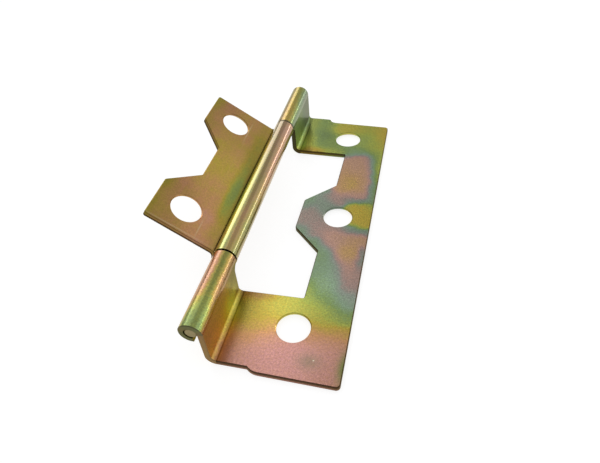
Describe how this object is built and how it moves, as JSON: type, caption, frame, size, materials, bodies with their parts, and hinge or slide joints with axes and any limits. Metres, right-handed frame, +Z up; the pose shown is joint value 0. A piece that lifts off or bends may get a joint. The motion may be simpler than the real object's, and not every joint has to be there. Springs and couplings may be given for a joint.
{
  "type": "cranked hinge",
  "caption": "Cranked flush hinge in yellow-passivated sheet steel: a large leaf with a cut-out, and a small notched leaf that swings on the pin between its knuckles. Countersunk screw holes.",
  "frame": {"origin": "midway between the two end screw holes of the large leaf, on its upper face", "axes": "+X away from the pin across the large leaf, +Y along the pin, +Z up off the large leaf's upper face"},
  "size_m": [0.0326, 0.0644, 0.0135],
  "materials": {
    "passivated_steel": "zinc plated, yellow passivated, satin",
    "pin_steel": "zinc plated wire, yellow passivated, cropped ends"
  },
  "bodies": {
    "large_leaf": {"cranked_leaf": "passivated_steel", "hinge_pin": "pin_steel"},
    "small_leaf": {"flat_leaf": "passivated_steel"}
  },
  "joints": [
    {"name": "pin_hinge", "type": "hinge", "parent": "large_leaf", "child": "small_leaf", "pos_m": [-0.0118, 0, 0.0058], "axis": [0, 1, 0], "range_deg": [-161, 174]}
  ]
}
